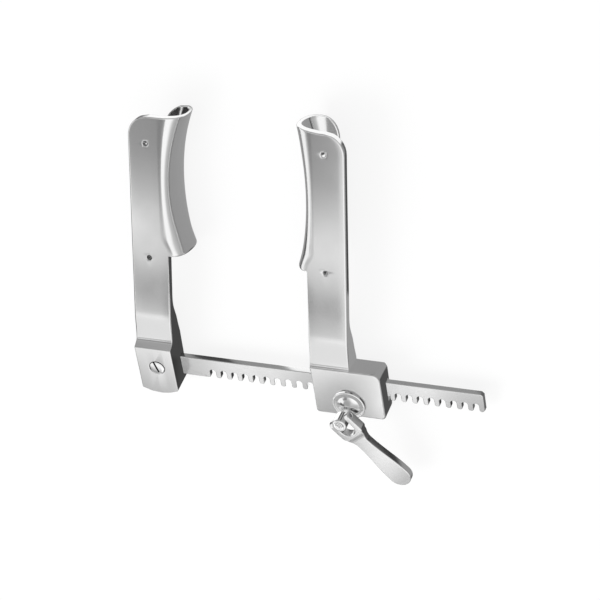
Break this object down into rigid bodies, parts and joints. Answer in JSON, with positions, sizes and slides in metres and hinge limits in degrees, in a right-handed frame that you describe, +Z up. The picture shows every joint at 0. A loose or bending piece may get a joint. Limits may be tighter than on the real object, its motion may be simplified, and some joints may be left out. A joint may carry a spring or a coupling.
{
  "type": "rib spreader",
  "caption": "Surgical rib spreader: a fixed arm and a sliding arm with hook blades on a notched rack, driven apart by a folding fork-handled crank.",
  "frame": {"origin": "centre of the instrument's bounding box, at the level of the flat surface it lies on", "axes": "+X along the rack from the fixed arm to its free end, +Y from the rack towards the blade tips, +Z up, out of the crank side, as it lies on its back on a tray"},
  "size_m": [0.1732, 0.1798, 0.0293],
  "materials": {
    "arm_steel": "satin polished stainless steel",
    "rack_steel": "ground stainless steel",
    "polished_steel": "polished stainless steel",
    "pin_steel": "hardened ground steel"
  },
  "bodies": {
    "rack_frame": {"fixed_arm": "arm_steel", "rack_bar": "rack_steel", "rack_screw": "polished_steel"},
    "sliding_arm": {"moving_arm": "arm_steel", "bearing_bush": "polished_steel"},
    "crank": {"crank_spindle": "polished_steel", "drive_disc": "pin_steel", "drive_pin_1": "pin_steel", "drive_pin_2": "pin_steel", "handle_pin": "pin_steel"},
    "handle": {"fold_handle": "arm_steel"}
  },
  "joints": [
    {"name": "arm_slide", "type": "slide", "parent": "rack_frame", "child": "sliding_arm", "axis": [1, 0, 0], "range_m": [-0.0545, 0.048]},
    {"name": "crank_turn", "type": "hinge", "parent": "sliding_arm", "child": "crank", "pos_m": [0.02045, -0.051, 0.0134], "axis": [0, -0.3808, 0.9247], "range_deg": [-1753, 1544]},
    {"name": "handle_fold", "type": "hinge", "parent": "crank", "child": "handle", "pos_m": [0.02045, -0.05546, 0.02422], "axis": [-0.766, -0.5944, -0.2448], "range_deg": [0, 180]}
  ],
  "couplings": [
    {"joint": "crank_turn", "follows": "arm_slide", "rad_per_m": 561}
  ]
}
